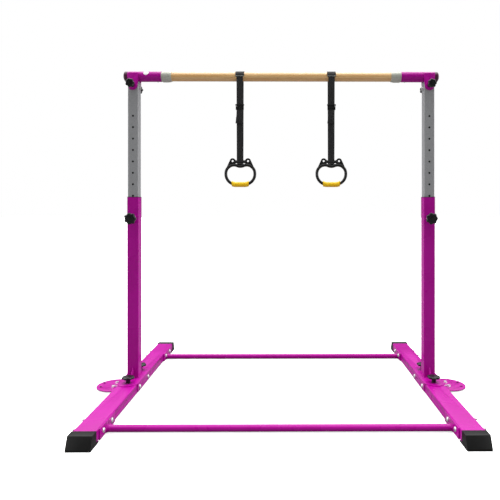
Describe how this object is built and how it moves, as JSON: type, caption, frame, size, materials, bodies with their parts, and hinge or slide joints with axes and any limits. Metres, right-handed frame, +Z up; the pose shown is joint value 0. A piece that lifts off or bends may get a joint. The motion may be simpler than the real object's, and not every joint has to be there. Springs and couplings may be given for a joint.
{
  "type": "kip bar",
  "caption": "Height-adjustable junior horizontal bar on two floor legs, with telescoping posts, a wooden bar and strap-hung hand rings.",
  "frame": {"origin": "on the floor, midway between the two posts", "axes": "+X along the bar, +Y from the gymnast's front to the back, +Z up"},
  "size_m": [1.626, 1.228, 1.396],
  "materials": {
    "magenta_powder": "glossy magenta powder coat on steel",
    "silver_vein": "silver-grey textured powder coat on steel tube",
    "zinc_steel": "bright zinc-plated steel fasteners",
    "beech": "lacquered laminated beech",
    "collar_grey": "satin grey painted steel ring",
    "black_cap_plastic": "moulded matt black plastic",
    "knob_black": "moulded satin black plastic",
    "plug_maroon": "moulded dark maroon plastic",
    "webbing_black": "woven black polyester webbing",
    "ring_black": "moulded black plastic",
    "grip_yellow": "soft yellow moulded grip"
  },
  "bodies": {
    "base": {"base_leg_left": "magenta_powder", "base_leg_right": "magenta_powder", "cross_tube_front": "magenta_powder", "cross_tube_rear": "magenta_powder", "end_cap_front_left": "black_cap_plastic", "end_cap_front_right": "black_cap_plastic", "end_cap_rear_left": "black_cap_plastic", "end_cap_rear_right": "black_cap_plastic", "flange_bolts": "zinc_steel", "flanges_front": "magenta_powder", "flanges_rear": "magenta_powder", "floor_plate_left": "magenta_powder", "floor_plate_right": "magenta_powder", "foot_gussets": "magenta_powder", "foot_saddle_left": "magenta_powder", "foot_saddle_right": "magenta_powder", "guide_bushes": "black_cap_plastic", "knob_nuts": "zinc_steel", "leg_nuts": "zinc_steel", "outer_post_left": "magenta_powder", "outer_post_right": "magenta_powder", "pin_collars": "zinc_steel", "plate_bolts": "zinc_steel", "saddle_bolts": "zinc_steel"},
    "bar_frame": {"inner_post_left": "silver_vein", "inner_post_right": "silver_vein", "bar_sleeve_left": "magenta_powder", "bar_sleeve_right": "magenta_powder", "bar_collar_left": "collar_grey", "bar_collar_right": "collar_grey", "wooden_bar": "beech", "sleeve_screws": "zinc_steel", "sleeve_plugs": "plug_maroon", "yoke_lugs": "magenta_powder", "pivot_bolts": "zinc_steel", "lock_bolts": "zinc_steel"},
    "height_pin_left": {"height_pin_left": "zinc_steel", "height_knob_left": "knob_black"},
    "height_pin_right": {"height_pin_right": "zinc_steel", "height_knob_right": "knob_black"},
    "foot_knob_front_left": {"foot_knob_front_left": "knob_black", "foot_stud_front_left": "zinc_steel"},
    "foot_knob_front_right": {"foot_knob_front_right": "knob_black", "foot_stud_front_right": "zinc_steel"},
    "foot_knob_rear_left": {"foot_knob_rear_left": "knob_black", "foot_stud_rear_left": "zinc_steel"},
    "foot_knob_rear_right": {"foot_knob_rear_right": "knob_black", "foot_stud_rear_right": "zinc_steel"},
    "top_knob_front_left": {"top_knob_front_left": "knob_black"},
    "top_knob_front_right": {"top_knob_front_right": "knob_black"},
    "top_knob_rear_left": {"top_knob_rear_left": "knob_black"},
    "top_knob_rear_right": {"top_knob_rear_right": "knob_black"},
    "strap_left": {"strap_left": "webbing_black", "buckle_left": "ring_black"},
    "ring_left": {"ring_left": "ring_black", "grip_left": "grip_yellow"},
    "strap_right": {"strap_right": "webbing_black", "buckle_right": "ring_black"},
    "ring_right": {"ring_right": "ring_black", "grip_right": "grip_yellow"}
  },
  "joints": [
    {"name": "bar_height", "type": "slide", "parent": "base", "child": "bar_frame", "axis": [0, 0, 1], "range_m": [-0.45, 0.1]},
    {"name": "pin_travel_left", "type": "slide", "parent": "base", "child": "height_pin_left", "axis": [0, 1, 0], "range_m": [0, 0.01]},
    {"name": "pin_travel_right", "type": "slide", "parent": "base", "child": "height_pin_right", "axis": [0, 1, 0], "range_m": [0, 0.01]},
    {"name": "foot_knob_turn_front_left", "type": "hinge", "parent": "base", "child": "foot_knob_front_left", "pos_m": [-0.65, -0.09, 0.048], "axis": [0, 0, 1], "continuous": true},
    {"name": "foot_knob_turn_front_right", "type": "hinge", "parent": "base", "child": "foot_knob_front_right", "pos_m": [0.65, -0.09, 0.048], "axis": [0, 0, 1], "continuous": true},
    {"name": "foot_knob_turn_rear_left", "type": "hinge", "parent": "base", "child": "foot_knob_rear_left", "pos_m": [-0.65, 0.09, 0.048], "axis": [0, 0, 1], "continuous": true},
    {"name": "foot_knob_turn_rear_right", "type": "hinge", "parent": "base", "child": "foot_knob_rear_right", "pos_m": [0.65, 0.09, 0.048], "axis": [0, 0, 1], "continuous": true},
    {"name": "top_knob_turn_front_left", "type": "hinge", "parent": "bar_frame", "child": "top_knob_front_left", "pos_m": [-0.65, -0.05, 1.329], "axis": [0, 1, 0], "continuous": true},
    {"name": "top_knob_turn_front_right", "type": "hinge", "parent": "bar_frame", "child": "top_knob_front_right", "pos_m": [0.65, -0.05, 1.329], "axis": [0, 1, 0], "continuous": true},
    {"name": "top_knob_turn_rear_left", "type": "hinge", "parent": "bar_frame", "child": "top_knob_rear_left", "pos_m": [-0.65, 0.05, 1.329], "axis": [0, 1, 0], "continuous": true},
    {"name": "top_knob_turn_rear_right", "type": "hinge", "parent": "bar_frame", "child": "top_knob_rear_right", "pos_m": [0.65, 0.05, 1.329], "axis": [0, 1, 0], "continuous": true},
    {"name": "strap_swing_left", "type": "hinge", "parent": "bar_frame", "child": "strap_left", "pos_m": [-0.183, 0, 1.3715], "axis": [1, 0, 0], "range_deg": [-75, 75]},
    {"name": "ring_swing_left", "type": "hinge", "parent": "strap_left", "child": "ring_left", "pos_m": [-0.182, 0, 0.996], "axis": [1, 0, 0], "range_deg": [-75, 75]},
    {"name": "strap_swing_right", "type": "hinge", "parent": "bar_frame", "child": "strap_right", "pos_m": [0.22, 0, 1.3715], "axis": [1, 0, 0], "range_deg": [-75, 75]},
    {"name": "ring_swing_right", "type": "hinge", "parent": "strap_right", "child": "ring_right", "pos_m": [0.221, 0, 0.996], "axis": [1, 0, 0], "range_deg": [-75, 75]}
  ]
}
